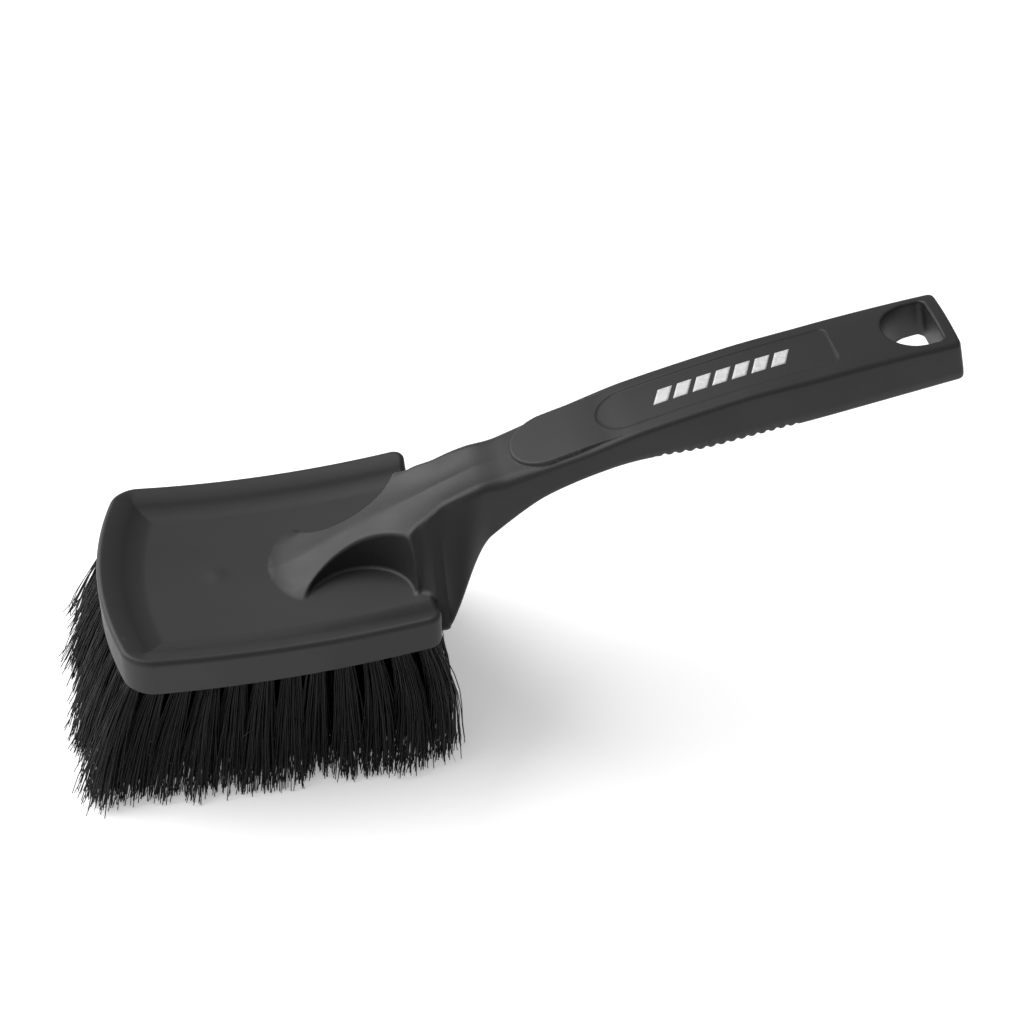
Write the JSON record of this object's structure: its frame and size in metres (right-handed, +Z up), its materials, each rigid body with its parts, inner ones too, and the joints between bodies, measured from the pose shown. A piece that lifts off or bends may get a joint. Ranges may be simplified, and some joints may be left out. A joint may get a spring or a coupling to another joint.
{
  "type": "wheel brush",
  "caption": "Hand brush for wheels: dished plastic block with scooped neck, cranked handle with hanging hole, and stiff black bristle tufts held by wire anchors.",
  "frame": {"origin": "middle of the whole brush in length and width, on the plane of the trimmed bristle tips it stands on", "axes": "+X along the brush from the block towards the handle end, +Y across the block, +Z up out of the dished face"},
  "size_m": [0.3049, 0.0986, 0.1282],
  "materials": {
    "body_plastic": "fine satin moulded",
    "bristle": "satin filament",
    "anchor_wire": "flat drawn wire"
  },
  "bodies": {
    "root": {"brush_body": "body_plastic", "tuft_row_1": "bristle", "tuft_row_2": "bristle", "tuft_row_3": "bristle", "tuft_row_4": "bristle", "tuft_row_5": "bristle", "tuft_row_6": "bristle", "tuft_row_7": "bristle", "tuft_row_8": "bristle", "tuft_row_9": "bristle", "tuft_row_10": "bristle", "tuft_row_11": "bristle", "tuft_row_12": "bristle", "anchor_row_1": "anchor_wire", "anchor_row_2": "anchor_wire", "anchor_row_3": "anchor_wire", "anchor_row_4": "anchor_wire", "anchor_row_5": "anchor_wire", "anchor_row_6": "anchor_wire", "anchor_row_7": "anchor_wire", "anchor_row_8": "anchor_wire", "anchor_row_9": "anchor_wire", "anchor_row_10": "anchor_wire", "anchor_row_11": "anchor_wire", "anchor_row_12": "anchor_wire"}
  },
  "joints": []
}
